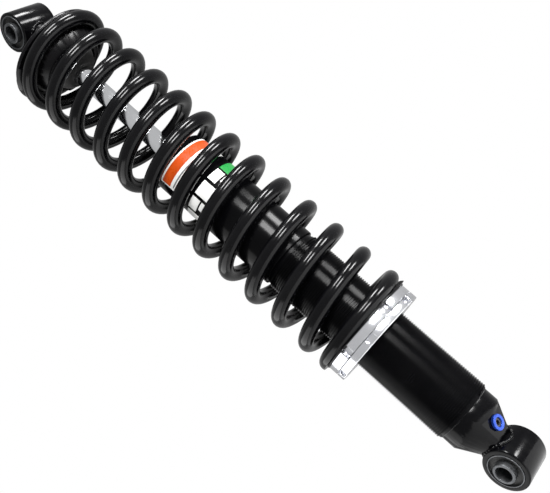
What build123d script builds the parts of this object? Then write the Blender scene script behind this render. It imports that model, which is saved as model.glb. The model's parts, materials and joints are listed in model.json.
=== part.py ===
from build123d import *

import math
import os

# Coil-over rear shock absorber, in millimetres.
# Origin: centre of the lower eye. +Z runs along the damper to the upper eye,
# +Y is the bolt axis of both eyes, and +X is the side of the gas port.

# ---- driving dimensions -------------------------------------------------
EYE_TO_EYE = 415.0

# eye bushings
BOLT_R = 5.1
SLEEVE_R = 6.8
SLEEVE_LENGTH = 30.5
RUBBER_BORE_R = 6.85
RUBBER_R = 10.5
RUBBER_LENGTH = 22.0
SHELL_R = 11.2
SHELL_PROUD = 0.4

# eyes
LOWER_EYE_R = 14.4
LOWER_EYE_WIDTH = 24.5
UPPER_EYE_R = 13.25
UPPER_EYE_WIDTH = 26.2

# damper body
BODY_R = 20.5
BORE_R = 17.0
BODY_LOW_Z = 37.5
BODY_TOP_Z = 272.0

# end cap
CAP_R = 18.9
CAP_SHOULDER_Z = 28.3
NECK_R = 10.5
NECK_Z = 13.0
PORT_X = 12.0
PORT_Z = 21.2
PORT_TILT = 22.4
FLAT_REACH = 7.0
PORT_SCREW_R = 2.8
GAS_HOLE_R = 1.5

# rod and piston
ROD_R = 6.25
STEM_R = 4.0
STEM_LOW_Z = 218.0
PISTON_LOW_Z = 228.0
PISTON_HEIGHT = 10.0
PISTON_R = 16.6
BAND_R = 16.95
BAND_BORE_R = 15.4
SHIM_RADII = (14.0, 12.5, 11.0, 9.0)
SHIM_STEP = 0.5
SHIM_THICKNESS = 0.48

# seal head
HEAD_LOW_Z = 252.0
HEAD_TOP_Z = 270.0

# spring and its seats
SPRING_R = 31.75
WIRE_D = 9.5
SPRING_PITCH = 22.1
WASHER_LOW_Z = 112.3
WASHER_TOP_Z = 113.3
RETAINER_LOW_Z = 384.0
RETAINER_TOP_Z = 387.0
SEAT_GAP = 0.3

# preload rings
RING_R = 33.0
RING_BORE_R = 20.56
ADJUSTER_LOW_Z = 106.5
LOCK_LOW_Z = 101.2
NOTCH_COUNT = 6
NOTCH_WIDTH = 6.0
NOTCH_DEPTH = 3.0
ADJUSTER_NOTCH_ANGLE = 44.2
LOCK_NOTCH_ANGLE = 11.6

# how far a cut runs past the surface that it opens in
OVERCUT = 2.0

piston_top_z = PISTON_LOW_Z + PISTON_HEIGHT
rod_shoulder_z = piston_top_z + SHIM_STEP * len(SHIM_RADII)

os.makedirs("parts", exist_ok=True)


def ring_section(r_in, r_out, z_low, z_high, mode=Mode.ADD):
    """Rectangle in the XZ plane that a turn about Z makes a ring."""
    with Locations(((r_in + r_out) / 2, (z_low + z_high) / 2)):
        Rectangle(r_out - r_in, z_high - z_low, mode=mode)


def save(part, label):
    """Name a finished piece and write it."""
    part.label = label
    export_step(part, f"parts/{label}.step")


# ---- damper body --------------------------------------------------------
circlip_low_z = HEAD_TOP_Z
circlip_height = 1.2
circlip_r = 18.1
body_chamfer = 0.8

with BuildPart() as damper_body:
    with BuildSketch(Plane.XZ):
        ring_section(BORE_R, BODY_R, BODY_LOW_Z, BODY_TOP_Z)
    revolve(axis=Axis.Z)
    rims = damper_body.edges().filter_by(GeomType.CIRCLE)
    chamfer(rims.filter_by(lambda edge: edge.radius > (BORE_R + BODY_R) / 2), length=body_chamfer)
    with BuildSketch(Plane.XZ):
        ring_section(BORE_R - OVERCUT, circlip_r, circlip_low_z, circlip_low_z + circlip_height)
    revolve(axis=Axis.Z, mode=Mode.SUBTRACT)
save(damper_body.part, "damper_body")

# ---- end cap with the gas port -----------------------------------------
spigot_top_z = 48.0
spigot_ring_low_z = 41.5
spigot_ring_height = 2.4
spigot_ring_r = 15.0
o_ring_round = 0.6
cap_low_z = 8.0
cap_clear = 60.0
port_depth = 8.0
port_ring_r = 4.75
port_ring_height = 2.0
screw_proud = 1.2
socket_r = 1.5
socket_depth = 3.0
gas_hole_low_z = PORT_Z + 4.0

# the gas port stands square to a milled flat that leans in towards the eye
tilt = math.radians(PORT_TILT)
port_plane = Plane(
    origin=(PORT_X, 0, PORT_Z),
    x_dir=(0, 1, 0),
    z_dir=(math.cos(tilt), 0, -math.sin(tilt)),
)

with BuildPart() as end_cap:
    with BuildSketch(Plane.XZ):
        with BuildLine():
            Polyline(
                (0, cap_low_z),
                (NECK_R, cap_low_z),
                (NECK_R, NECK_Z),
                (CAP_R, CAP_SHOULDER_Z),
                (CAP_R, BODY_LOW_Z),
                (BORE_R, BODY_LOW_Z),
                (BORE_R, spigot_top_z),
                (0, spigot_top_z),
                close=True,
            )
        make_face()
    revolve(axis=Axis.Z)
    # milled flat, from its step wall down past the eye
    with BuildSketch(port_plane):
        with Locations((0, FLAT_REACH - cap_clear / 2)):
            Rectangle(cap_clear, cap_clear)
    extrude(amount=cap_clear, mode=Mode.SUBTRACT)
    # seat for the eye that is welded on
    with BuildSketch(Plane.XZ):
        Circle(LOWER_EYE_R)
    extrude(amount=cap_clear, both=True, mode=Mode.SUBTRACT)
    with BuildSketch(port_plane):
        Circle(PORT_SCREW_R)
    extrude(amount=-port_depth, mode=Mode.SUBTRACT)
    with BuildSketch(port_plane):
        Circle(GAS_HOLE_R)
    extrude(amount=-PORT_X, mode=Mode.SUBTRACT)
    with BuildSketch(Plane.XY.offset(spigot_top_z)):
        Circle(GAS_HOLE_R)
    extrude(amount=gas_hole_low_z - spigot_top_z, mode=Mode.SUBTRACT)
    # groove of the spigot's sealing ring
    with BuildSketch(Plane.XZ):
        ring_section(
            spigot_ring_r,
            BORE_R + OVERCUT,
            spigot_ring_low_z,
            spigot_ring_low_z + spigot_ring_height,
        )
    revolve(axis=Axis.Z, mode=Mode.SUBTRACT)
save(end_cap.part, "end_cap")

with BuildPart() as end_cap_o_ring:
    with BuildSketch(Plane.XZ):
        ring_section(spigot_ring_r, BORE_R, spigot_ring_low_z, spigot_ring_low_z + spigot_ring_height)
    revolve(axis=Axis.Z)
    fillet(end_cap_o_ring.edges().filter_by(GeomType.CIRCLE), radius=o_ring_round)
save(end_cap_o_ring.part, "end_cap_o_ring")

with BuildPart() as gas_port_ring:
    with BuildSketch(port_plane):
        Circle(port_ring_r)
        Circle(PORT_SCREW_R, mode=Mode.SUBTRACT)
    extrude(amount=port_ring_height)
save(gas_port_ring.part, "gas_port_ring")

with BuildPart() as gas_port_screw:
    with BuildSketch(port_plane.offset(-port_depth)):
        Circle(PORT_SCREW_R)
    extrude(amount=port_depth + screw_proud)
    with BuildSketch(port_plane.offset(screw_proud)):
        RegularPolygon(radius=socket_r, side_count=6)
    extrude(amount=-socket_depth, mode=Mode.SUBTRACT)
save(gas_port_screw.part, "gas_port_screw")

# ---- eyes ---------------------------------------------------------------
eye_chamfer = 0.6
sleeve_chamfer = 0.3

with BuildPart() as lower_eye:
    with BuildSketch(Plane.XZ):
        Circle(LOWER_EYE_R)
        Circle(SHELL_R, mode=Mode.SUBTRACT)
    extrude(amount=LOWER_EYE_WIDTH / 2, both=True)
    rims = lower_eye.edges().filter_by(GeomType.CIRCLE)
    chamfer(rims.filter_by(lambda edge: edge.radius > (SHELL_R + LOWER_EYE_R) / 2), length=eye_chamfer)
save(lower_eye.part, "lower_eye")

boss_r = 10.0
boss_flange_r = 12.5
boss_flange_height = 3.5
rod_top_z = 400.0

with BuildPart() as upper_eye:
    with BuildSketch(Plane.XY.offset(RETAINER_TOP_Z)):
        Circle(boss_r)
    extrude(amount=EYE_TO_EYE - RETAINER_TOP_Z)
    with BuildSketch(Plane.XY.offset(RETAINER_TOP_Z)):
        Circle(boss_flange_r)
    extrude(amount=boss_flange_height)
    with BuildSketch(Plane.XZ):
        with Locations((0, EYE_TO_EYE)):
            Circle(UPPER_EYE_R)
    extrude(amount=UPPER_EYE_WIDTH / 2, both=True)
    with BuildSketch(Plane.XZ):
        with Locations((0, EYE_TO_EYE)):
            Circle(SHELL_R)
    extrude(amount=UPPER_EYE_WIDTH, both=True, mode=Mode.SUBTRACT)
    with BuildSketch(Plane.XY.offset(RETAINER_TOP_Z)):
        Circle(ROD_R)
    extrude(amount=rod_top_z - RETAINER_TOP_Z, mode=Mode.SUBTRACT)
save(upper_eye.part, "upper_eye")

for side, eye_z, eye_width in (
    ("lower", 0.0, LOWER_EYE_WIDTH),
    ("upper", EYE_TO_EYE, UPPER_EYE_WIDTH),
):
    with BuildPart() as bush_shell:
        with BuildSketch(Plane.XZ):
            with Locations((0, eye_z)):
                Circle(SHELL_R)
                Circle(RUBBER_R, mode=Mode.SUBTRACT)
        extrude(amount=eye_width / 2 + SHELL_PROUD, both=True)
    save(bush_shell.part, f"{side}_bush_shell")

    with BuildPart() as bush_rubber:
        with BuildSketch(Plane.XZ):
            with Locations((0, eye_z)):
                Circle(RUBBER_R)
                Circle(RUBBER_BORE_R, mode=Mode.SUBTRACT)
        extrude(amount=RUBBER_LENGTH / 2, both=True)
    save(bush_rubber.part, f"{side}_bush_rubber")

    with BuildPart() as sleeve:
        with BuildSketch(Plane.XZ):
            with Locations((0, eye_z)):
                Circle(SLEEVE_R)
                Circle(BOLT_R, mode=Mode.SUBTRACT)
        extrude(amount=SLEEVE_LENGTH / 2, both=True)
        rims = sleeve.edges().filter_by(GeomType.CIRCLE)
        chamfer(rims.filter_by(lambda edge: edge.radius > (BOLT_R + SLEEVE_R) / 2), length=sleeve_chamfer)
    save(sleeve.part, f"{side}_sleeve")

# ---- seal head ----------------------------------------------------------
guide_low_z = 254.0
guide_r = 7.5
seal_low_z = 262.0
wiper_low_z = 266.0
seal_r = 9.0
head_ring_low_z = 258.0
head_ring_height = 2.4
head_ring_r = 15.0
head_bore_r = ROD_R + 0.35
guide_clearance = 0.05
seal_clearance = 0.04
wiper_lip = 1.4
wiper_gap = 0.2

with BuildPart() as seal_head:
    with BuildSketch(Plane.XZ):
        ring_section(head_bore_r, BORE_R, HEAD_LOW_Z, HEAD_TOP_Z)
        ring_section(
            head_bore_r - OVERCUT,
            guide_r,
            guide_low_z,
            HEAD_TOP_Z + OVERCUT,
            mode=Mode.SUBTRACT,
        )
        ring_section(
            head_bore_r - OVERCUT,
            seal_r,
            seal_low_z,
            HEAD_TOP_Z + OVERCUT,
            mode=Mode.SUBTRACT,
        )
        ring_section(
            head_ring_r,
            BORE_R + OVERCUT,
            head_ring_low_z,
            head_ring_low_z + head_ring_height,
            mode=Mode.SUBTRACT,
        )
    revolve(axis=Axis.Z)
save(seal_head.part, "seal_head")

with BuildPart() as head_o_ring:
    with BuildSketch(Plane.XZ):
        ring_section(head_ring_r, BORE_R, head_ring_low_z, head_ring_low_z + head_ring_height)
    revolve(axis=Axis.Z)
    fillet(head_o_ring.edges().filter_by(GeomType.CIRCLE), radius=o_ring_round)
save(head_o_ring.part, "head_o_ring")

with BuildPart() as guide_bush:
    with BuildSketch(Plane.XZ):
        ring_section(ROD_R + guide_clearance, guide_r, guide_low_z, seal_low_z)
    revolve(axis=Axis.Z)
save(guide_bush.part, "guide_bush")

with BuildPart() as rod_seal:
    with BuildSketch(Plane.XZ):
        ring_section(ROD_R + seal_clearance, seal_r, seal_low_z, wiper_low_z)
    revolve(axis=Axis.Z)
save(rod_seal.part, "rod_seal")

with BuildPart() as dust_wiper:
    with BuildSketch(Plane.XZ):
        ring_section(ROD_R + guide_clearance, seal_r, wiper_low_z, HEAD_TOP_Z)
        ring_section(ROD_R + guide_clearance, ROD_R + wiper_lip, HEAD_TOP_Z, BODY_TOP_Z - wiper_gap)
    revolve(axis=Axis.Z)
save(dust_wiper.part, "dust_wiper")

circlip_bore_r = 14.8
circlip_gap = 12.0
circlip_clear = 8.0

with BuildPart() as head_circlip:
    with BuildSketch(Plane.XZ):
        ring_section(circlip_bore_r, circlip_r, circlip_low_z, circlip_low_z + circlip_height)
    revolve(axis=Axis.Z)
    with Locations((-circlip_r, 0, circlip_low_z)):
        Box(circlip_clear, circlip_gap, circlip_clear, mode=Mode.SUBTRACT)
save(head_circlip.part, "head_circlip")

# ---- floating piston that keeps the gas from the oil --------------------
float_low_z = 100.0
float_height = 12.0
float_ring_low_z = 104.5
float_ring_height = 3.0
float_groove_r = 14.6
float_cup_r = 12.0
float_cup_depth = 4.0

with BuildPart() as floating_piston:
    with BuildSketch(Plane.XY.offset(float_low_z)):
        Circle(PISTON_R)
    extrude(amount=float_height)
    with BuildSketch(Plane.XY.offset(float_low_z + float_height)):
        Circle(float_cup_r)
    extrude(amount=-float_cup_depth, mode=Mode.SUBTRACT)
    with BuildSketch(Plane.XZ):
        ring_section(float_groove_r, BORE_R, float_ring_low_z, float_ring_low_z + float_ring_height)
    revolve(axis=Axis.Z, mode=Mode.SUBTRACT)
save(floating_piston.part, "floating_piston")

with BuildPart() as floating_piston_ring:
    with BuildSketch(Plane.XZ):
        ring_section(float_groove_r, BAND_R, float_ring_low_z, float_ring_low_z + float_ring_height)
    revolve(axis=Axis.Z)
save(floating_piston_ring.part, "floating_piston_ring")

# ---- piston, valve shims and nut ----------------------------------------
band_groove_low_z = 230.5
band_groove_height = 5.0
band_end_gap = 0.3
band_clearance = 0.05
port_count = 6
port_circle_r = 10.5
port_r = 1.8
nut_low_z = 219.5
nut_high_z = PISTON_LOW_Z - SHIM_STEP * len(SHIM_RADII)
nut_r = 7.5

with BuildPart() as piston:
    with BuildSketch(Plane.XY.offset(PISTON_LOW_Z)):
        Circle(PISTON_R)
        Circle(STEM_R, mode=Mode.SUBTRACT)
        with PolarLocations(port_circle_r, port_count):
            Circle(port_r, mode=Mode.SUBTRACT)
    extrude(amount=PISTON_HEIGHT)
    with BuildSketch(Plane.XZ):
        ring_section(
            BAND_BORE_R - band_clearance,
            BORE_R,
            band_groove_low_z,
            band_groove_low_z + band_groove_height,
        )
    revolve(axis=Axis.Z, mode=Mode.SUBTRACT)
save(piston.part, "piston")

with BuildPart() as piston_band:
    with BuildSketch(Plane.XZ):
        ring_section(
            BAND_BORE_R,
            BAND_R,
            band_groove_low_z + band_end_gap,
            band_groove_low_z + band_groove_height - band_end_gap,
        )
    revolve(axis=Axis.Z)
save(piston_band.part, "piston_band")

with BuildPart() as compression_shims:
    for index, shim_r in enumerate(SHIM_RADII):
        with BuildSketch(Plane.XY.offset(piston_top_z + SHIM_STEP * index)):
            Circle(shim_r)
            Circle(STEM_R, mode=Mode.SUBTRACT)
        extrude(amount=SHIM_THICKNESS)
save(compression_shims.part, "compression_shims")

with BuildPart() as rebound_shims:
    for index, shim_r in enumerate(SHIM_RADII):
        with BuildSketch(Plane.XY.offset(PISTON_LOW_Z - SHIM_STEP * index)):
            Circle(shim_r)
            Circle(STEM_R, mode=Mode.SUBTRACT)
        extrude(amount=-SHIM_THICKNESS)
save(rebound_shims.part, "rebound_shims")

with BuildPart() as piston_nut:
    with BuildSketch(Plane.XY.offset(nut_low_z)):
        RegularPolygon(radius=nut_r, side_count=6)
        Circle(STEM_R, mode=Mode.SUBTRACT)
    extrude(amount=nut_high_z - nut_low_z)
save(piston_nut.part, "piston_nut")

# ---- rod and its bumpers -------------------------------------------------
rebound_r = 12.0
rebound_gap = 0.5
rebound_round = 1.5

with BuildPart() as piston_rod:
    with BuildSketch(Plane.XY.offset(STEM_LOW_Z)):
        Circle(STEM_R)
    extrude(amount=rod_shoulder_z - STEM_LOW_Z)
    with BuildSketch(Plane.XY.offset(rod_shoulder_z)):
        Circle(ROD_R)
    extrude(amount=rod_top_z - rod_shoulder_z)
save(piston_rod.part, "piston_rod")

with BuildPart() as rebound_bumper:
    with BuildSketch(Plane.XZ):
        ring_section(ROD_R, rebound_r, rod_shoulder_z + rebound_gap, HEAD_LOW_Z - rebound_gap)
    revolve(axis=Axis.Z)
    rims = rebound_bumper.edges().filter_by(GeomType.CIRCLE)
    fillet(rims.filter_by(lambda edge: edge.radius > (ROD_R + rebound_r) / 2), radius=rebound_round)
save(rebound_bumper.part, "rebound_bumper")

bump_low_z = 362.0
bump_washer_low_z = 382.0
bump_washer_r = 16.5
# radius, and height above the low end, of each corner of its bellied outline
bump_outline = ((10.0, 0.0), (14.0, 3.5), (16.5, 8.0), (17.0, 11.0), (16.0, 14.0), (17.0, 17.0))
bump_top_r = 17.0

with BuildPart() as bump_stop:
    with BuildSketch(Plane.XZ):
        with BuildLine():
            Polyline(
                (ROD_R, bump_low_z),
                *[(corner_r, bump_low_z + rise) for corner_r, rise in bump_outline],
                (bump_top_r, bump_washer_low_z),
                (ROD_R, bump_washer_low_z),
                close=True,
            )
        make_face()
    revolve(axis=Axis.Z)
save(bump_stop.part, "bump_stop")

with BuildPart() as bump_washer:
    with BuildSketch(Plane.XZ):
        ring_section(ROD_R, bump_washer_r, bump_washer_low_z, RETAINER_LOW_Z)
    revolve(axis=Axis.Z)
save(bump_washer.part, "bump_washer")

# ---- spring retainer, slotted so that it slips over the rod --------------
retainer_r = 34.3
retainer_chamfer = 0.8
retainer_hub_r = 26.3
retainer_hub_bore_r = 18.0
retainer_hub_height = 6.0
retainer_nose_r = 21.5
retainer_nose_z = 370.0
collar_r = 30.0
collar_height = 1.6
slot_width = 14.0
slot_direction = 195.0

with BuildPart() as spring_retainer:
    with BuildSketch(Plane.XY.offset(RETAINER_LOW_Z)):
        Circle(retainer_r)
    extrude(amount=RETAINER_TOP_Z - RETAINER_LOW_Z)
    chamfer(spring_retainer.faces().sort_by(Axis.Z)[-1].edges(), length=retainer_chamfer)
    # hub inside the spring, tapering to a nose that the bump stop sits in
    with BuildSketch(Plane.XZ):
        with BuildLine():
            Polyline(
                (retainer_hub_bore_r, RETAINER_LOW_Z),
                (retainer_hub_bore_r, retainer_nose_z),
                (retainer_nose_r, retainer_nose_z),
                (retainer_hub_r, RETAINER_LOW_Z - retainer_hub_height),
                (retainer_hub_r, RETAINER_LOW_Z),
                close=True,
            )
        make_face()
    revolve(axis=Axis.Z)
    slot_plane = Plane.XY.rotated((0, 0, slot_direction))
    with BuildSketch(slot_plane.offset(retainer_nose_z)):
        Circle(slot_width / 2)
        with Locations((retainer_r, 0)):
            Rectangle(2 * retainer_r, slot_width)
    extrude(amount=RETAINER_TOP_Z - retainer_nose_z, mode=Mode.SUBTRACT)
save(spring_retainer.part, "spring_retainer")

# collar that lies on the slotted retainer, round the flange of the eye
with BuildPart() as retainer_collar:
    with BuildSketch(Plane.XY.offset(RETAINER_TOP_Z)):
        Circle(collar_r)
        Circle(boss_flange_r, mode=Mode.SUBTRACT)
    extrude(amount=collar_height)
save(retainer_collar.part, "retainer_collar")

# ---- coil spring with ends ground flat at its two seats ------------------
spring_low_z = WASHER_TOP_Z + SEAT_GAP
spring_high_z = RETAINER_LOW_Z - SEAT_GAP
spring_height = spring_high_z - spring_low_z

with BuildPart() as coil_spring:
    coil = Edge.make_helix(SPRING_PITCH, spring_height, SPRING_R, center=(0, 0, spring_low_z))
    with BuildSketch(Plane(origin=coil @ 0, z_dir=coil % 0)):
        Circle(WIRE_D / 2)
    sweep(path=coil, is_frenet=True)
    split(bisect_by=Plane.XY.offset(spring_low_z), keep=Keep.TOP)
    split(bisect_by=Plane.XY.offset(spring_high_z), keep=Keep.BOTTOM)
save(coil_spring.part, "coil_spring")

# ---- preload washer and the two notched rings -----------------------------
washer_r = 33.5

with BuildPart() as thrust_washer:
    with BuildSketch(Plane.XZ):
        ring_section(RING_BORE_R, washer_r, WASHER_LOW_Z, WASHER_TOP_Z)
    revolve(axis=Axis.Z)
save(thrust_washer.part, "thrust_washer")

for label, ring_low_z, ring_high_z, notch_angle in (
    ("adjuster_ring", ADJUSTER_LOW_Z, WASHER_LOW_Z - SEAT_GAP, ADJUSTER_NOTCH_ANGLE),
    ("lock_ring", LOCK_LOW_Z, ADJUSTER_LOW_Z - SEAT_GAP, LOCK_NOTCH_ANGLE),
):
    with BuildPart() as notched_ring:
        with BuildSketch(Plane.XY.offset(ring_low_z)):
            Circle(RING_R)
            Circle(RING_BORE_R, mode=Mode.SUBTRACT)
            with PolarLocations(RING_R, NOTCH_COUNT, start_angle=notch_angle):
                Rectangle(2 * NOTCH_DEPTH, NOTCH_WIDTH, mode=Mode.SUBTRACT)
        extrude(amount=ring_high_z - ring_low_z)
    save(notched_ring.part, label)
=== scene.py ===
"""Coil-over rear shock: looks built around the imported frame, laid out as an add-on."""

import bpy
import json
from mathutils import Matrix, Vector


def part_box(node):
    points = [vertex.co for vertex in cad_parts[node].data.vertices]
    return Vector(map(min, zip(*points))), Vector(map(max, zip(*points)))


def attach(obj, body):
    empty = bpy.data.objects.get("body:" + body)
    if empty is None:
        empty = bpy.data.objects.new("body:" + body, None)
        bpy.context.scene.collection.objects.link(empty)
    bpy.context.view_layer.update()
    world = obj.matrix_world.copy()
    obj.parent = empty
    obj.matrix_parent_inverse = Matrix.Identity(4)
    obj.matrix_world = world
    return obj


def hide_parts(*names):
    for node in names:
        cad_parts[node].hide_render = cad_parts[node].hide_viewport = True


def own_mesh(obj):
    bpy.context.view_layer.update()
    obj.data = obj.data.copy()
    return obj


bl_info = {
    "name": "Coil-over rear shock",
    "version": (1, 0, 0),
    "blender": (4, 5, 0),
    "location": "View3D > Sidebar > Shock",
    "description": "Builds the visible pieces and finishes of a coil-over rear shock",
    "category": "Object",
}

import json
import math

import bpy
from bpy.props import FloatProperty, FloatVectorProperty, IntProperty, PointerProperty
from mathutils import Matrix, Vector

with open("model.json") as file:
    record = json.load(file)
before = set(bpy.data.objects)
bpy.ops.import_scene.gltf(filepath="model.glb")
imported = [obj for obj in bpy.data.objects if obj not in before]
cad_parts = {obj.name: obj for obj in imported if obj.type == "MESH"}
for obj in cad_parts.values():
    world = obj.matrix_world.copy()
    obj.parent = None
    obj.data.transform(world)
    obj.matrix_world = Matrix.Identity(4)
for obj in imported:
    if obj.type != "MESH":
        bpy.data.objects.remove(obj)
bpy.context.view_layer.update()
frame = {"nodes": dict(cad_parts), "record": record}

MM = 0.001
BODY_LOW, BODY_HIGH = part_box("damper_body")
COIL_LOW, COIL_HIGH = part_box("coil_spring")
UPPER_SLEEVE_LOW, UPPER_SLEEVE_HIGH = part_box("upper_sleeve")
LOWER_EYE_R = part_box("lower_eye")[1].x

BODY_R = BODY_HIGH.x
BORE_R = 17.0 * MM
UPPER_EYE_Z = (UPPER_SLEEVE_LOW.z + UPPER_SLEEVE_HIGH.z) / 2
SMOOTH_ANGLE = math.radians(32)
THREAD_SMOOTH_ANGLE = math.radians(25)

# how far each print stands off what it lies on, and how thick it is
PRINT_LIFT = 0.02 * MM
PRINT_THICK = 0.12 * MM
OVERPRINT_LIFT = 0.10 * MM
DEGREES_PER_FACE = 3


def srgb(text):
    """A hex colour as an sRGB triple."""
    return tuple(int(text[i : i + 2], 16) / 255 for i in (1, 3, 5))


# ---- sizes and colours a user would change --------------------------------
class SpringSizes(bpy.types.PropertyGroup):
    wire: FloatProperty(name="Wire", description="Wire diameter", default=9.5 * MM, unit="LENGTH")
    end_pitch: FloatProperty(
        name="End pitch", description="Rise per turn of the closed end coils", default=7.8 * MM, unit="LENGTH"
    )
    end_turn: FloatProperty(
        name="End turn",
        description="Angle of each closed end coil",
        default=math.radians(317),
        subtype="ANGLE",
    )
    active_turns: FloatProperty(
        name="Active turns", description="Turns between the end coils", default=11.86
    )
    tip_angle: FloatProperty(
        name="Tip angle",
        description="Where the lower tip starts",
        default=math.radians(50.2),
        subtype="ANGLE",
    )
    tip_sink: FloatProperty(
        name="Tip sink",
        description="How far the wire's centre starts below the lower seat",
        default=2.35 * MM,
        unit="LENGTH",
    )


class BodySizes(bpy.types.PropertyGroup):
    thread_pitch: FloatProperty(name="Pitch", description="Thread pitch", default=1.5 * MM, unit="LENGTH")
    thread_depth: FloatProperty(name="Depth", description="Thread depth", default=0.85 * MM, unit="LENGTH")
    thread_top: FloatProperty(
        name="Thread top", description="Height where the thread ends", default=172.7 * MM, unit="LENGTH"
    )
    sticker_low: FloatProperty(
        name="Sticker", description="Sticker's low edge", default=250 * MM, unit="LENGTH"
    )
    sticker_height: FloatProperty(
        name="Sticker height", description="Sticker's height", default=17 * MM, unit="LENGTH"
    )
    bars_low: FloatProperty(
        name="Bars", description="Low edge of the bars", default=232.1 * MM, unit="LENGTH"
    )
    bars_height: FloatProperty(
        name="Bars height", description="Height of the bars", default=10.7 * MM, unit="LENGTH"
    )


class FinishColours(bpy.types.PropertyGroup):
    orange: FloatVectorProperty(
        name="Orange", description="Sticker band, as sRGB", default=srgb("#b8450f"), subtype="COLOR_GAMMA"
    )
    green: FloatVectorProperty(
        name="Green", description="Accent bar, as sRGB", default=srgb("#148538"), subtype="COLOR_GAMMA"
    )
    blue: FloatVectorProperty(
        name="Blue", description="Gas port ring, as sRGB", default=srgb("#21429e"), subtype="COLOR_GAMMA"
    )


class StageSizes(bpy.types.PropertyGroup):
    lens: FloatProperty(name="Lens", description="Focal length in millimetres", default=51.70)
    floor_drop: FloatProperty(
        name="Floor drop", description="Floor below the lower eye", default=0.30, unit="LENGTH"
    )
    floor_radius: FloatProperty(
        name="Floor radius", description="Round pale floor", default=0.70, unit="LENGTH"
    )
    tube_power: FloatProperty(name="Tube power", description="Power of one strip light", default=17.0)
    tube_count: IntProperty(name="Tubes", description="Strip lights in each bank", default=2)


# ---- shared helpers ---------------------------------------------------------
def linear(colour):
    """An sRGB hex string or triple as linear RGBA."""
    if isinstance(colour, str):
        colour = srgb(colour)
    flat = [c / 12.92 if c <= 0.04045 else ((c + 0.055) / 1.055) ** 2.4 for c in colour]
    return (*flat, 1.0)


def deselect():
    if bpy.context.object and bpy.context.object.mode != "OBJECT":
        bpy.ops.object.mode_set(mode="OBJECT")
    bpy.ops.object.select_all(action="DESELECT")


def pick(piece):
    """Make one piece the only selected and active object."""
    deselect()
    piece.select_set(True)
    bpy.context.view_layer.objects.active = piece


def settle(piece):
    """Put a piece's place, turn and size into its mesh."""
    pick(piece)
    bpy.ops.object.transform_apply(location=True, rotation=True, scale=True)


def modify(piece, kind, **settings):
    """Add a modifier, set it and apply it."""
    pick(piece)
    modifier = piece.modifiers.new(kind.title(), kind)
    for name, value in settings.items():
        setattr(modifier, name, value)
    bpy.ops.object.modifier_apply(modifier=modifier.name)


def clean(piece, distance=1e-6):
    """Merge doubled points and point every face outwards."""
    pick(piece)
    bpy.ops.object.mode_set(mode="EDIT")
    bpy.ops.mesh.select_all(action="SELECT")
    bpy.ops.mesh.remove_doubles(threshold=distance)
    bpy.ops.mesh.normals_make_consistent(inside=False)
    bpy.ops.object.mode_set(mode="OBJECT")


def cap_ends(piece, distance=1e-7):
    """Close the open ends of a swept piece, each with one face."""
    pick(piece)
    bpy.ops.object.mode_set(mode="EDIT")
    bpy.ops.mesh.select_all(action="DESELECT")
    bpy.ops.mesh.select_mode(type="EDGE")
    bpy.ops.mesh.select_non_manifold()
    bpy.ops.mesh.edge_face_add()
    bpy.ops.mesh.select_mode(type="VERT")
    bpy.ops.object.mode_set(mode="OBJECT")
    clean(piece, distance)


def smooth(piece, angle=SMOOTH_ANGLE):
    pick(piece)
    bpy.ops.object.shade_smooth_by_angle(angle=angle)


def turned(name, outline, steps=96):
    """Turn a closed outline of (radius, height) corners about Z, ring by ring."""
    deselect()
    first_r, first_z = outline[0]
    bpy.ops.mesh.primitive_circle_add(vertices=steps, radius=first_r, location=(0, 0, first_z))
    piece = bpy.context.object
    piece.name = name
    settle(piece)
    bpy.ops.object.mode_set(mode="EDIT")
    bpy.ops.mesh.select_all(action="SELECT")
    r, z = first_r, first_z
    for next_r, next_z in [*outline[1:], outline[0]]:
        bpy.ops.mesh.extrude_region_move(TRANSFORM_OT_translate={"value": (0, 0, next_z - z)})
        bpy.ops.transform.resize(value=(next_r / r, next_r / r, 1), center_override=(0, 0, next_z))
        r, z = next_r, next_z
    bpy.ops.object.mode_set(mode="OBJECT")
    clean(piece)
    return piece


def from_node(node, name, bevel=0.3 * MM, segments=3, flat=math.radians(1.5)):
    """A merged copy of a CAD node with its flat faces whole and its edges rounded."""
    piece = bpy.data.objects.new(name, frame["nodes"][node].data.copy())
    bpy.context.scene.collection.objects.link(piece)
    piece.data.materials.clear()
    clean(piece)
    bpy.ops.object.mode_set(mode="EDIT")
    bpy.ops.mesh.select_all(action="SELECT")
    bpy.ops.mesh.dissolve_limited(angle_limit=flat)
    bpy.ops.object.mode_set(mode="OBJECT")
    if bevel:
        modify(piece, "BEVEL", width=bevel, segments=segments, limit_method="ANGLE", angle_limit=SMOOTH_ANGLE)
    return piece


def dress(piece, material, body, slot, *nodes):
    """Give a finished piece its material, its body and the nodes it stands for; the slot is not used."""
    piece.data.materials.clear()
    piece.data.materials.append(bpy.data.materials[material])
    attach(piece, body)
    if nodes:
        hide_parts(*nodes)


def join(pieces, name):
    deselect()
    for piece in pieces:
        piece.select_set(True)
    bpy.context.view_layer.objects.active = pieces[0]
    bpy.ops.object.join()
    pieces[0].name = name
    return pieces[0]


# ---- materials --------------------------------------------------------------
def add_node(tree, kind, settings=None, inputs=None):
    """Add one node, set its properties, and set or link its inputs."""
    node = tree.nodes.new(kind)
    for name, value in (settings or {}).items():
        setattr(node, name, value)
    for name, value in (inputs or {}).items():
        if isinstance(value, bpy.types.NodeSocket):
            tree.links.new(value, node.inputs[name])
        else:
            node.inputs[name].default_value = value
    return node


def start_material(name, colour=None, **constants):
    """A named material whose shader holds the values that are the same all over."""
    material = bpy.data.materials.new(name)
    material.use_nodes = True
    shader = material.node_tree.nodes["Principled BSDF"]
    if colour is not None:
        shader.inputs["Base Color"].default_value = linear(colour)
    for input_name, value in constants.items():
        shader.inputs[input_name.replace("_", " ")].default_value = value
    return material.node_tree, shader


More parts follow.
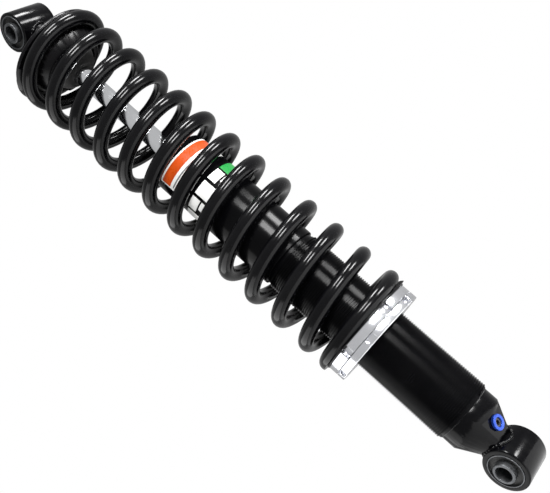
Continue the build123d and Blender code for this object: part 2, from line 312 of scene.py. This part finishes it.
def add_grain(tree, shader, grain, depth, smoother, rougher, stretch=(1, 1, 1), detail=4.0):
    """Relief and uneven gloss from one noise; grain and depth are real lengths."""
    place = add_node(tree, "ShaderNodeTexCoord")
    mapping = add_node(
        tree, "ShaderNodeMapping", inputs={"Vector": place.outputs["Object"], "Scale": stretch}
    )
    noise = add_node(
        tree,
        "ShaderNodeTexNoise",
        inputs={"Vector": mapping.outputs["Vector"], "Scale": 1 / grain, "Detail": detail},
    )
    gloss = add_node(
        tree,
        "ShaderNodeMapRange",
        inputs={
            "Value": noise.outputs["Fac"],
            "From Min": 0.3,
            "From Max": 0.7,
            "To Min": smoother,
            "To Max": rougher,
        },
    )
    bump = add_node(
        tree, "ShaderNodeBump", inputs={"Height": noise.outputs["Fac"], "Strength": 1.0, "Distance": depth}
    )
    tree.links.new(gloss.outputs["Result"], shader.inputs["Roughness"])
    tree.links.new(bump.outputs["Normal"], shader.inputs["Normal"])


def add_mottle(tree, shader, size, dark, light):
    """Base colour that drifts between two near shades over patches of a real size."""
    place = add_node(tree, "ShaderNodeTexCoord")
    noise = add_node(
        tree,
        "ShaderNodeTexNoise",
        inputs={"Vector": place.outputs["Object"], "Scale": 1 / size, "Detail": 3.0},
    )
    ramp = add_node(tree, "ShaderNodeValToRGB", inputs={"Fac": noise.outputs["Fac"]})
    ramp.color_ramp.elements[0].position = 0.35
    ramp.color_ramp.elements[0].color = linear(dark)
    ramp.color_ramp.elements[1].position = 0.65
    ramp.color_ramp.elements[1].color = linear(light)
    tree.links.new(ramp.outputs["Color"], shader.inputs["Base Color"])


def add_turning_marks(tree, shader, spacing, depth):
    """Fine rings of a lathe tool, from the height plus the distance to the axis."""
    place = add_node(tree, "ShaderNodeTexCoord")
    split = add_node(tree, "ShaderNodeSeparateXYZ", inputs={"Vector": place.outputs["Object"]})
    flat = add_node(
        tree, "ShaderNodeCombineXYZ", inputs={"X": split.outputs["X"], "Y": split.outputs["Y"], "Z": 0.0}
    )
    radius = add_node(
        tree, "ShaderNodeVectorMath", settings={"operation": "LENGTH"}, inputs={0: flat.outputs["Vector"]}
    )
    both = add_node(
        tree,
        "ShaderNodeMath",
        settings={"operation": "ADD"},
        inputs={0: radius.outputs["Value"], 1: split.outputs["Z"]},
    )
    turns = add_node(
        tree,
        "ShaderNodeMath",
        settings={"operation": "MULTIPLY"},
        inputs={0: both.outputs["Value"], 1: 2 * math.pi / spacing},
    )
    wave = add_node(
        tree, "ShaderNodeMath", settings={"operation": "SINE"}, inputs={0: turns.outputs["Value"]}
    )
    bump = add_node(
        tree, "ShaderNodeBump", inputs={"Height": wave.outputs["Value"], "Strength": 0.6, "Distance": depth}
    )
    tree.links.new(bump.outputs["Normal"], shader.inputs["Normal"])


def make_spring_coat(colours):
    """Gloss black powder coat on wire: a clear skin with a faint orange peel."""
    tree, shader = start_material("gloss_black_powder_coat", Specular_IOR_Level=0.16)
    add_mottle(tree, shader, 14 * MM, "#030304", "#060607")
    add_grain(tree, shader, 3.0 * MM, 0.004 * MM, 0.13, 0.18, detail=2.0)


def make_body_coat(colours):
    """Black anodised and sealed tube: satin, with faint draw lines along it."""
    tree, shader = start_material("satin_black_anodising", Specular_IOR_Level=0.08)
    add_mottle(tree, shader, 22 * MM, "#030304", "#070708")
    add_grain(tree, shader, 1.4 * MM, 0.001 * MM, 0.16, 0.22, stretch=(1, 1, 0.08))


def make_cast_coat(colours):
    """Gloss black paint over rough forged and welded steel: it pools and shows the lumps."""
    tree, shader = start_material("gloss_black_paint_on_forging", Specular_IOR_Level=0.11)
    add_mottle(tree, shader, 9 * MM, "#020203", "#050506")
    add_grain(tree, shader, 4.5 * MM, 0.05 * MM, 0.12, 0.20, detail=2.0)


def make_plate_coat(colours):
    """Black zinc plate: thin and even, a little brown where it is thick."""
    tree, shader = start_material("black_zinc_plate", Specular_IOR_Level=0.14)
    add_mottle(tree, shader, 11 * MM, "#030304", "#080709")
    add_grain(tree, shader, 0.9 * MM, 0.001 * MM, 0.24, 0.34)


def make_metals(colours):
    """Metals, each from how it was cut, drawn or plated; grain runs the way that it was worked."""
    tree, shader = start_material("polished_turned_aluminium", "#dfe0e4", Metallic=0.98)
    add_grain(tree, shader, 1.6 * MM, 0.0002 * MM, 0.10, 0.20, stretch=(1, 1, 4))
    tree, shader = start_material("hard_chrome", "#f4f4f6", Metallic=0.82)
    add_grain(tree, shader, 0.8 * MM, 0.00002 * MM, 0.10, 0.16, stretch=(1, 1, 0.05))
    tree, shader = start_material("zinc_plated_steel", Metallic=0.9)
    add_mottle(tree, shader, 5 * MM, "#434547", "#58595b")
    add_grain(tree, shader, 0.7 * MM, 0.006 * MM, 0.34, 0.5)
    tree, shader = start_material("blue_anodised_aluminium", colours.blue, Metallic=0.55)
    add_grain(tree, shader, 0.5 * MM, 0.006 * MM, 0.24, 0.36)
    tree, shader = start_material("machined_aluminium", "#c9cbce", Metallic=1.0, Roughness=0.28)
    add_turning_marks(tree, shader, 0.4 * MM, 0.006 * MM)
    tree, shader = start_material("black_oxide_steel", "#17181a", Metallic=0.6)
    add_grain(tree, shader, 0.6 * MM, 0.010 * MM, 0.30, 0.46)
    tree, shader = start_material("spring_steel", "#8d8f92", Metallic=1.0)
    add_grain(tree, shader, 0.5 * MM, 0.004 * MM, 0.20, 0.32)
    tree, shader = start_material("sintered_bronze", "#a97a3c", Metallic=1.0)
    add_grain(tree, shader, 0.3 * MM, 0.015 * MM, 0.34, 0.50)


def make_rubbers(colours):
    """Moulded rubber: dull, with a fine tooth and paler bloom in patches."""
    for name, dark, light in (
        ("moulded_bush_rubber", "#121212", "#1c1c1b"),
        ("nitrile_rubber", "#0f0f0f", "#171717"),
        ("black_urethane_foam", "#141414", "#1d1c1b"),
        ("bronze_filled_ptfe", "#4f4436", "#5d5141"),
    ):
        tree, shader = start_material(name)
        add_mottle(tree, shader, 4 * MM, dark, light)
        add_grain(tree, shader, 0.6 * MM, 0.03 * MM, 0.55, 0.8)


def make_prints(colours):
    """Printed vinyl: even colour under a thin satin laminate."""
    for name, colour in (
        ("white_vinyl", "#e6e6e4"),
        ("orange_vinyl", colours.orange),
        ("green_vinyl", colours.green),
        ("grey_vinyl", "#6f6f70"),
        ("clear_grey_vinyl", "#1b1b1d"),
    ):
        tree, shader = start_material(name, colour)
        add_grain(tree, shader, 1.2 * MM, 0.006 * MM, 0.24, 0.38)


NODE_FINISH = {
    "satin_black_body": "satin_black_anodising",
    "gloss_black_cast": "gloss_black_paint_on_forging",
    "gloss_black_spring": "gloss_black_powder_coat",
    "satin_black_plate": "black_zinc_plate",
    "black_anodised": "satin_black_anodising",
    "plain_aluminium": "machined_aluminium",
    "polished_aluminium": "polished_turned_aluminium",
    "blue_anodised": "blue_anodised_aluminium",
    "hard_chrome": "hard_chrome",
    "zinc_steel": "zinc_plated_steel",
    "shim_steel": "spring_steel",
    "black_oxide_steel": "black_oxide_steel",
    "bronze": "sintered_bronze",
    "nitrile_rubber": "nitrile_rubber",
    "bush_rubber": "moulded_bush_rubber",
    "black_urethane": "black_urethane_foam",
    "ptfe_band": "bronze_filled_ptfe",
}


class SHOCK_OT_finishes(bpy.types.Operator):
    """Make the finishes and give each CAD node the one of its slot"""

    bl_idname = "shock.finishes"
    bl_label = "Finishes"

    def execute(self, context):
        colours = context.scene.shock_colours
        for make in (
            make_spring_coat,
            make_body_coat,
            make_cast_coat,
            make_plate_coat,
            make_metals,
            make_rubbers,
            make_prints,
        ):
            make(colours)
        for row in frame["record"]["subparts"]:
            node = frame["nodes"][row["node"]]
            node.data.materials.clear()
            node.data.materials.append(bpy.data.materials[NODE_FINISH[row["material_slot"]]])
        return {"FINISHED"}


# ---- spring -----------------------------------------------------------------
def coil_points(sizes, radius, steps_per_turn=64):
    """Centreline of the spring: a closed coil, the active coils and a closed coil."""
    end = sizes.end_turn
    active = sizes.active_turns * 2 * math.pi
    total = 2 * end + active
    step = 2 * math.pi / steps_per_turn
    count = round(total / step)
    length = COIL_HIGH.z - COIL_LOW.z + 2 * sizes.tip_sink
    active_pitch = (length - 2 * sizes.end_pitch * end / (2 * math.pi)) / sizes.active_turns
    ease = math.radians(25)
    rise = [0.0]
    for index in range(count):
        turn = (index + 0.5) * total / count
        into = min(1, max(0, (turn - end + ease) / (2 * ease)))
        out = min(1, max(0, (total - end + ease - turn) / (2 * ease)))
        share = min(into, out)
        share = share * share * (3 - 2 * share)
        pitch = sizes.end_pitch + (active_pitch - sizes.end_pitch) * share
        rise.append(rise[-1] + pitch / (2 * math.pi) * total / count)
    low = COIL_LOW.z - sizes.tip_sink
    points = []
    for index, height in enumerate(rise):
        angle = sizes.tip_angle + index * total / count
        points.append((radius * math.cos(angle), radius * math.sin(angle), low + height * length / rise[-1]))
    return points


class SHOCK_OT_spring(bpy.types.Operator):
    """Wind the coil spring and grind its ends flat"""

    bl_idname = "shock.spring"
    bl_label = "Coil spring"

    def execute(self, context):
        sizes = context.scene.shock_spring
        radius = COIL_HIGH.x - sizes.wire / 2
        points = coil_points(sizes, radius)
        deselect()
        bpy.ops.curve.primitive_nurbs_path_add(location=(0, 0, 0))
        coil = bpy.context.object
        coil.name = "spring_wire"
        coil.data.splines.clear()
        spline = coil.data.splines.new("POLY")
        spline.points.add(len(points) - 1)
        for point, place in zip(spline.points, points):
            point.co = (*place, 1)
        coil.data.bevel_depth = sizes.wire / 2
        coil.data.bevel_resolution = 14
        coil.data.use_fill_caps = True
        pick(coil)
        bpy.ops.object.convert(target="MESH")
        coil = bpy.context.object
        clean(coil)
        for height, up in ((COIL_LOW.z, False), (COIL_HIGH.z, True)):
            pick(coil)
            bpy.ops.object.mode_set(mode="EDIT")
            bpy.ops.mesh.select_all(action="SELECT")
            bpy.ops.mesh.bisect(
                plane_co=(0, 0, height),
                plane_no=(0, 0, 1),
                use_fill=True,
                clear_outer=up,
                clear_inner=not up,
            )
            bpy.ops.object.mode_set(mode="OBJECT")
        clean(coil)
        smooth(coil)
        dress(coil, "gloss_black_powder_coat", "cylinder", "gloss_black_spring", "coil_spring")
        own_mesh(coil)
        return {"FINISHED"}


# ---- damper body --------------------------------------------------------------
def thread_ridge(sizes, low, high, root_r):
    """One V ridge wound up the tube, closed at both ends."""
    turns = round((high - low) / sizes.thread_pitch) - 1
    half_base = sizes.thread_pitch * 0.46
    half_crest = sizes.thread_pitch * 0.10
    crest_r = root_r + sizes.thread_depth
    # its foot is sunk in the tube
    inner_r = root_r - 0.15 * MM
    deselect()
    bpy.ops.mesh.primitive_plane_add(size=1, location=(0, 0, 0))
    ridge = bpy.context.object
    ridge.name = "thread_ridge"
    middle = low + sizes.thread_pitch / 2
    corners = (
        (inner_r, 0, middle - half_base),
        (crest_r, 0, middle - half_crest),
        (inner_r, 0, middle + half_base),
        (crest_r, 0, middle + half_crest),
    )
    for vertex, corner in zip(ridge.data.vertices, corners):
        vertex.co = corner
    pick(ridge)
    bpy.ops.object.mode_set(mode="EDIT")
    bpy.ops.mesh.select_all(action="SELECT")
    bpy.ops.mesh.delete(type="ONLY_FACE")
    bpy.ops.object.mode_set(mode="OBJECT")
    modify(
        ridge,
        "SCREW",
        axis="Z",
        angle=2 * math.pi,
        screw_offset=sizes.thread_pitch,
        iterations=turns,
        steps=64,
        render_steps=64,
        use_merge_vertices=False,
    )
    cap_ends(ridge)
    return ridge


class SHOCK_OT_body(bpy.types.Operator):
    """Turn the damper tube and cut its preload thread"""

    bl_idname = "shock.body"
    bl_label = "Damper body"

    def execute(self, context):
        sizes = context.scene.shock_body
        root_r = BODY_R - sizes.thread_depth
        rim = 0.8 * MM
        lead_in = 0.4 * MM
        undercut = 2.2 * MM
        undercut_r = BODY_R - 1.3 * MM
        undercut_slope = 0.3 * MM
        low, high, top = BODY_LOW.z, BODY_HIGH.z, sizes.thread_top
        tube = turned(
            "damper_tube",
            [
                (BORE_R, low),
                (root_r - lead_in, low),
                (root_r, low + lead_in),
                (root_r, top),
                (undercut_r, top + undercut_slope),
                (undercut_r, top + undercut),
                (BODY_R - 0.1 * MM, top + undercut + 0.6 * MM),
                (BODY_R, top + undercut + 1.0 * MM),
                (BODY_R, high - rim),
                (BODY_R - rim, high),
                (BORE_R + rim, high),
                (BORE_R, high - rim),
            ],
            steps=128,
        )
        ridge = thread_ridge(sizes, low + 0.6 * MM, top, root_r)
        tube = join([tube, ridge], "damper_tube")
        smooth(tube, THREAD_SMOOTH_ANGLE)
        dress(tube, "satin_black_anodising", "cylinder", "satin_black_body", "damper_body")
        return {"FINISHED"}


# ---- prints on the body ---------------------------------------------------------
# each pair of angles is where a print starts and ends round the body, in degrees from +X;
# the insets and shortfalls below are in degrees too
STICKER_ANGLES = (-96, 47)
BAR_ANGLES = ((-133, -104), (-98, -72), (-66, -38), (-32, -6))
ACCENT_ANGLES = (-2, 42)
PATCH_ANGLES = (64, 112)

BAND_INSET = 3
BAND_BELOW_TOP = 7.7 * MM
BAND_MARGIN = 1.2 * MM
BAND_THICK = 0.10 * MM
ROW_INSET = 6
ROW_SHORTFALLS = (40, 28, 16)
ROW_MARGIN = 1.4 * MM
ROW_SPACING = 2.4 * MM
ROW_HEIGHT = 1.0 * MM
ROW_THICK = 0.08 * MM
FOOT_INSET = 9
FOOT_SHARE = 0.42
FOOT_GAP = 1.2 * MM
PATCH_LOW = 47.2 * MM
PATCH_HIGH = 65.7 * MM
PATCH_LIFT = 0.05 * MM
PATCH_THICK = 0.5 * MM


def wrapped(name, low, high, start, end, lift=PRINT_LIFT, thick=PRINT_THICK):
    """A thin label spun round the body from one angle to another, in degrees."""
    deselect()
    bpy.ops.mesh.primitive_plane_add(size=1, location=(0, 0, 0))
    label = bpy.context.object
    label.name = name
    inner = BODY_R + lift
    corners = ((inner, low), (inner + thick, low), (inner, high), (inner + thick, high))
    turn = math.radians(start)
    for vertex, (r, z) in zip(label.data.vertices, corners):
        vertex.co = (r * math.cos(turn), r * math.sin(turn), z)
    pick(label)
    bpy.ops.object.mode_set(mode="EDIT")
    bpy.ops.mesh.select_all(action="SELECT")
    steps = max(4, round(abs(end - start) / DEGREES_PER_FACE))
    bpy.ops.mesh.spin(
        steps=steps, angle=math.radians(start - end), center=(0, 0, 0), axis=(0, 0, 1), use_auto_merge=False
    )
    bpy.ops.object.mode_set(mode="OBJECT")
    cap_ends(label)
    smooth(label)
    return label


class SHOCK_OT_prints(bpy.types.Operator):
    """Lay the plain sticker and the bars on the upper body"""

    bl_idname = "shock.prints"
    bl_label = "Prints"

    def execute(self, context):
        sizes = context.scene.shock_body
        # sticker: a white base, an orange band and three rows of unequal length
        low, high = sizes.sticker_low, sizes.sticker_low + sizes.sticker_height
        start, end = STICKER_ANGLES
        base = wrapped("sticker_base", low, high, start, end)
        dress(base, "white_vinyl", "cylinder", "satin_black_body")
        band_low, band_high = high - BAND_BELOW_TOP, high - BAND_MARGIN
        band = wrapped(
            "sticker_band",
            band_low,
            band_high,
            start + BAND_INSET,
            end - BAND_INSET,
            OVERPRINT_LIFT,
            BAND_THICK,
        )
        dress(band, "orange_vinyl", "cylinder", "satin_black_body")
        rows = []
        for index, shortfall in enumerate(ROW_SHORTFALLS):
            row_low = low + ROW_MARGIN + ROW_SPACING * index
            rows.append(
                wrapped(
                    f"sticker_row_{index}",
                    row_low,
                    row_low + ROW_HEIGHT,
                    start + ROW_INSET,
                    end - shortfall,
                    OVERPRINT_LIFT,
                    ROW_THICK,
                )
            )
        rows = join(rows, "sticker_rows")
        dress(rows, "grey_vinyl", "cylinder", "satin_black_body")
        # abstract bars of uneven width, every other one on a foot; the last one is the accent
        low, high = sizes.bars_low, sizes.bars_low + sizes.bars_height
        bars = []
        for index, (start, end) in enumerate(BAR_ANGLES):
            lift = sizes.bars_height * FOOT_SHARE if index % 2 else 0.0
            bars.append(wrapped(f"bar_{index}", low + lift, high, start, end))
            if lift:
                foot_high = low + lift - FOOT_GAP
                bars.append(wrapped(f"bar_foot_{index}", low, foot_high, start + FOOT_INSET, end))
        bars = join(bars, "body_bars")
        dress(bars, "white_vinyl", "cylinder", "satin_black_body")
        accent = wrapped("accent_bar", low, high, *ACCENT_ANGLES)
        dress(accent, "green_vinyl", "cylinder", "satin_black_body")
        # a thin patch low on the thread, over its crests
        patch = wrapped("thread_patch", PATCH_LOW, PATCH_HIGH, *PATCH_ANGLES, PATCH_LIFT, PATCH_THICK)
        dress(patch, "clear_grey_vinyl", "cylinder", "satin_black_body")
        return {"FINISHED"}


# ---- fittings -----------------------------------------------------------------
class SHOCK_OT_rings(bpy.types.Operator):
    """Round the edges of the preload rings, washer and spring retainer"""

    bl_idname = "shock.rings"
    bl_label = "Rings and retainer"

    def execute(self, context):
        for node, body, finish, slot, bevel in (
            ("adjuster_ring", "adjuster", "polished_turned_aluminium", "polished_aluminium", 0.45),
            ("lock_ring", "lock_ring", "polished_turned_aluminium", "polished_aluminium", 0.45),
            ("thrust_washer", "thrust_washer", "black_zinc_plate", "satin_black_plate", 0.2),
            ("spring_retainer", "rod", "black_zinc_plate", "satin_black_plate", 0.6),
            ("retainer_collar", "rod", "black_zinc_plate", "satin_black_plate", 0.3),
            ("bump_stop", "rod", "black_urethane_foam", "black_urethane", 0.6),
        ):
            piece = from_node(node, f"{node}_finished", bevel * MM)
            smooth(piece)
            dress(piece, finish, body, slot, node)
        return {"FINISHED"}


# the welds run just outside each neck, over the outside of each eye
LOWER_WELD_R = 10.7 * MM
UPPER_WELD_R = 10.2 * MM
UPPER_EYE_R = 13.25 * MM


def weld_bead(name, eye_z, neck_r, eye_r, facing, bead_r, step):
    """Lumpy bead where a round neck meets the eye: small balls run together.

    facing is 1 for a neck above the eye and -1 for one below it.
    """
    count = round(2 * math.pi * neck_r / step)
    balls = []
    for index in range(count):
        turn = 2 * math.pi * index / count
        x = neck_r * math.cos(turn)
        y = neck_r * math.sin(turn)
        z = eye_z + facing * math.sqrt(max(0, eye_r**2 - x**2))
        wobble = 1 + 0.16 * math.sin(5.3 * index) + 0.10 * math.sin(2.1 * index + 1)
        deselect()
        bpy.ops.mesh.primitive_ico_sphere_add(subdivisions=2, radius=bead_r * wobble, location=(x, y, z))
        balls.append(bpy.context.object)
    bead = join(balls, name)
    settle(bead)
    modify(bead, "REMESH", mode="VOXEL", voxel_size=0.35 * MM)
    modify(bead, "SMOOTH", factor=0.5, iterations=3)
    smooth(bead, math.pi)
    return bead


class SHOCK_OT_eyes(bpy.types.Operator):
    """Round the eyes and their sleeves and run the weld beads"""

    bl_idname = "shock.eyes"
    bl_label = "Eyes and welds"

    def execute(self, context):
        for node, body, finish, slot, bevel in (
            ("lower_eye", "cylinder", "gloss_black_paint_on_forging", "gloss_black_cast", 0.5),
            ("upper_eye", "rod", "gloss_black_paint_on_forging", "gloss_black_cast", 0.5),
            ("end_cap", "cylinder", "gloss_black_paint_on_forging", "gloss_black_cast", 0.5),
            ("lower_sleeve", "lower_sleeve", "zinc_plated_steel", "zinc_steel", 0.3),
            ("upper_sleeve", "upper_sleeve", "zinc_plated_steel", "zinc_steel", 0.3),
            ("lower_bush_shell", "cylinder", "zinc_plated_steel", "zinc_steel", 0.12),
            ("upper_bush_shell", "rod", "zinc_plated_steel", "zinc_steel", 0.12),
            ("gas_port_ring", "cylinder", "blue_anodised_aluminium", "blue_anodised", 0.25),
            ("gas_port_screw", "cylinder", "black_oxide_steel", "black_oxide_steel", 0.2),
        ):
            piece = from_node(node, f"{node}_finished", bevel * MM)
            smooth(piece)
            dress(piece, finish, body, slot, node)
        lower = weld_bead("lower_weld", 0, LOWER_WELD_R, LOWER_EYE_R, 1, 1.5 * MM, 2.0 * MM)
        dress(lower, "gloss_black_paint_on_forging", "cylinder", "gloss_black_cast")
        upper = weld_bead("upper_weld", UPPER_EYE_Z, UPPER_WELD_R, UPPER_EYE_R, -1, 1.3 * MM, 1.9 * MM)
        dress(upper, "gloss_black_paint_on_forging", "rod", "gloss_black_cast")
        return {"FINISHED"}


# ---- stage --------------------------------------------------------------------
CAMERA_PLACE = Vector((0.3526, -0.3265, 0.0890))
CAMERA_RIGHT = Vector((0.3408, 0.5884, -0.7333))
CAMERA_UP = Vector((0.6051, 0.4597, 0.6500))
CAMERA_BACK = Vector((0.7196, -0.6651, -0.1994))
MIDDLE = Vector((0, 0, 0.21))

# two upright banks of strip lights; angles in degrees, lengths in metres
BANK_AZIMUTHS = (-14.8, 27.2)
LOWEST_RISE = 2
RISE_STEP = 42
STRIP_WIDTH = 0.20
STRIP_LENGTH = 0.42
STRIP_DISTANCE = 1.2

# strength of the white world as light, in front of the shock and behind it
WORLD_FRONT = 0.56
WORLD_BACK = 0.48


def strip_light(name, azimuth, rise, width, length, power, distance):
    """A soft rectangular light aimed at the middle of the shock."""
    turn, lift = math.radians(azimuth), math.radians(rise)
    away = Vector((math.cos(lift) * math.cos(turn), math.cos(lift) * math.sin(turn), math.sin(lift)))
    deselect()
    bpy.ops.object.light_add(type="AREA", location=MIDDLE + away * distance)
    light = bpy.context.object
    light.name = name
    light.data.shape = "RECTANGLE"
    light.data.size = length
    light.data.size_y = width
    light.data.energy = power
    side = Vector((0, 0, 1)).cross(away).normalized()
    up = away.cross(side)
    light.matrix_world = Matrix.Translation(light.location) @ Matrix((side, up, away)).transposed().to_4x4()


class SHOCK_OT_stage(bpy.types.Operator):
    """Set the pale floor, the soft lights and the camera"""

    bl_idname = "shock.stage"
    bl_label = "Stage"

    def execute(self, context):
        sizes = context.scene.shock_stage
        deselect()
        bpy.ops.mesh.primitive_circle_add(
            vertices=128, radius=sizes.floor_radius, fill_type="NGON", location=(0, 0, -sizes.floor_drop)
        )
        floor = bpy.context.object
        floor.name = "pale_floor"
        tree, shader = start_material("pale_floor_paint", "#f4f4f4")
        add_grain(tree, shader, 8 * MM, 0.02 * MM, 0.85, 0.95)
        floor.data.materials.append(bpy.data.materials["pale_floor_paint"])

        for azimuth in BANK_AZIMUTHS:
            for index in range(sizes.tube_count):
                strip_light(
                    f"tube_{round(azimuth)}_{index}",
                    azimuth,
                    LOWEST_RISE + RISE_STEP * index,
                    STRIP_WIDTH,
                    STRIP_LENGTH,
                    sizes.tube_power,
                    STRIP_DISTANCE,
                )
        strip_light("fill_low", azimuth=215, rise=-10, width=1.2, length=1.6, power=14, distance=1.5)

        world = bpy.data.worlds.new("studio")
        bpy.context.scene.world = world
        world.use_nodes = True
        tree = world.node_tree
        background = tree.nodes["Background"]
        background.inputs["Color"].default_value = (1, 1, 1, 1)
        place = add_node(tree, "ShaderNodeTexCoord")
        # behind the shock as the camera sees it, and somewhat below
        away = (-CAMERA_BACK - 0.5 * CAMERA_UP).normalized()
        toward = add_node(
            tree,
            "ShaderNodeVectorMath",
            settings={"operation": "DOT_PRODUCT"},
            inputs={0: place.outputs["Generated"], 1: away},
        )
        glow = add_node(
            tree,
            "ShaderNodeMapRange",
            inputs={
                "Value": toward.outputs["Value"],
                "From Min": -0.5,
                "From Max": 0.8,
                "To Min": WORLD_FRONT,
                "To Max": WORLD_BACK,
            },
        )
        # the camera sees it as plain white
        path = add_node(tree, "ShaderNodeLightPath")
        seen = add_node(
            tree,
            "ShaderNodeMix",
            inputs={0: path.outputs["Is Camera Ray"], 2: glow.outputs["Result"], 3: 1.0},
        )
        tree.links.new(seen.outputs[0], background.inputs["Strength"])

        deselect()
        bpy.ops.object.camera_add(location=CAMERA_PLACE)
        camera = bpy.context.object
        camera.name = "main_camera"
        turn = Matrix((CAMERA_RIGHT, CAMERA_UP, CAMERA_BACK)).transposed().to_4x4()
        camera.matrix_world = Matrix.Translation(CAMERA_PLACE) @ turn
        camera.data.sensor_width = 36.0
        camera.data.lens = sizes.lens
        camera.data.clip_start = 0.01
        context.scene.camera = camera
        context.scene.view_settings.view_transform = "Standard"
        return {"FINISHED"}


# ---- add-on -------------------------------------------------------------------
STEPS = (
    SHOCK_OT_finishes,
    SHOCK_OT_spring,
    SHOCK_OT_body,
    SHOCK_OT_prints,
    SHOCK_OT_rings,
    SHOCK_OT_eyes,
    SHOCK_OT_stage,
)


class SHOCK_PT_panel(bpy.types.Panel):
    bl_label = "Coil-over shock"
    bl_space_type = "VIEW_3D"
    bl_region_type = "UI"
    bl_category = "Shock"

    def draw(self, context):
        for step in STEPS:
            self.layout.operator(step.bl_idname)


GROUPS = {
    "shock_spring": SpringSizes,
    "shock_body": BodySizes,
    "shock_colours": FinishColours,
    "shock_stage": StageSizes,
}


def register():
    for group in GROUPS.values():
        bpy.utils.register_class(group)
    for name, group in GROUPS.items():
        setattr(bpy.types.Scene, name, PointerProperty(type=group))
    for item in (*STEPS, SHOCK_PT_panel):
        bpy.utils.register_class(item)


def unregister():
    for item in reversed((*STEPS, SHOCK_PT_panel)):
        bpy.utils.unregister_class(item)
    for name in GROUPS:
        delattr(bpy.types.Scene, name)
    for group in reversed(GROUPS.values()):
        bpy.utils.unregister_class(group)


def main():
    register()
    bpy.ops.shock.finishes()
    bpy.ops.shock.spring()
    bpy.ops.shock.body()
    bpy.ops.shock.prints()
    bpy.ops.shock.rings()
    bpy.ops.shock.eyes()
    bpy.ops.shock.stage()


if __name__ == "__main__":
    main()
